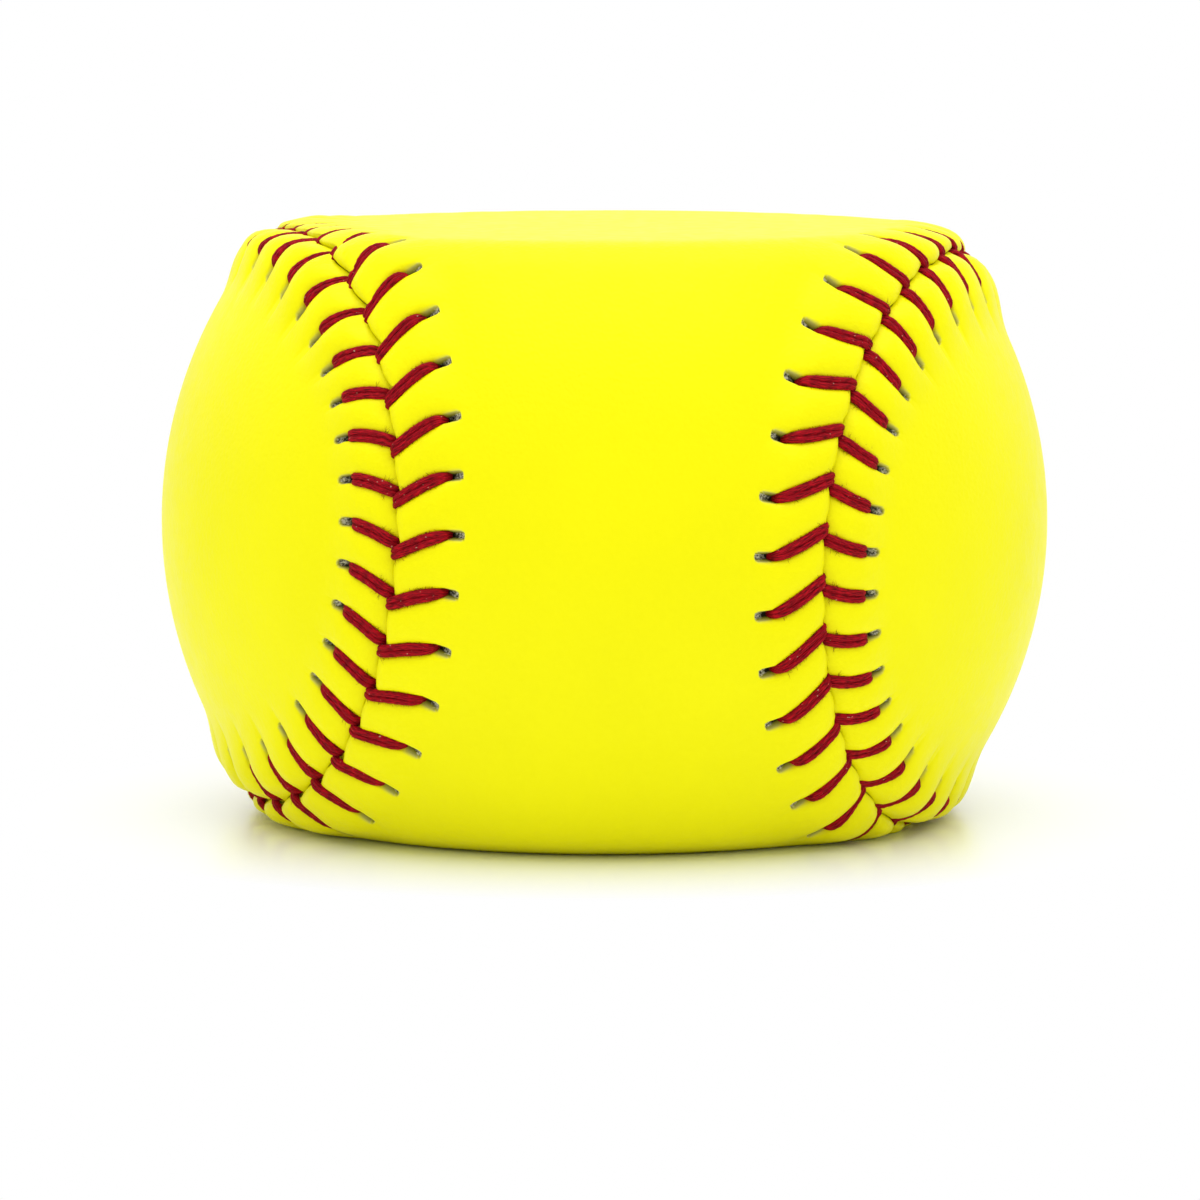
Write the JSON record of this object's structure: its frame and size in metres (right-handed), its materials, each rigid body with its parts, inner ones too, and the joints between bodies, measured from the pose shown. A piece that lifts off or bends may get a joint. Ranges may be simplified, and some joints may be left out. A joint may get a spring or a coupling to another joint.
{
  "type": "flat-sided softball",
  "caption": "Softball with flat top and bottom faces: a moulded foam core under a rubber coat and a two-panel leather cover sewn with raised criss-cross stitching.",
  "frame": {"origin": "centre of the ball, halfway between the two flat faces", "axes": "+Z out of the upper flat face, -Y through the waist of the front cover panel, +X to the right as seen from the front"},
  "size_m": [0.097, 0.097, 0.0644],
  "materials": {
    "core_foam": "moulded polyurethane foam, cream",
    "rubber_cement": "thin brushed coat of dried rubber cement",
    "cover_leather": "optic yellow leather, fine grain, satin",
    "waxed_thread": "red waxed thread, two strands side by side"
  },
  "bodies": {
    "root": {"core": "core_foam", "rubber_coat": "rubber_cement", "cover_panel_front": "cover_leather", "cover_panel_back": "cover_leather", "thread_first_needle": "waxed_thread", "thread_second_needle": "waxed_thread"}
  },
  "joints": []
}
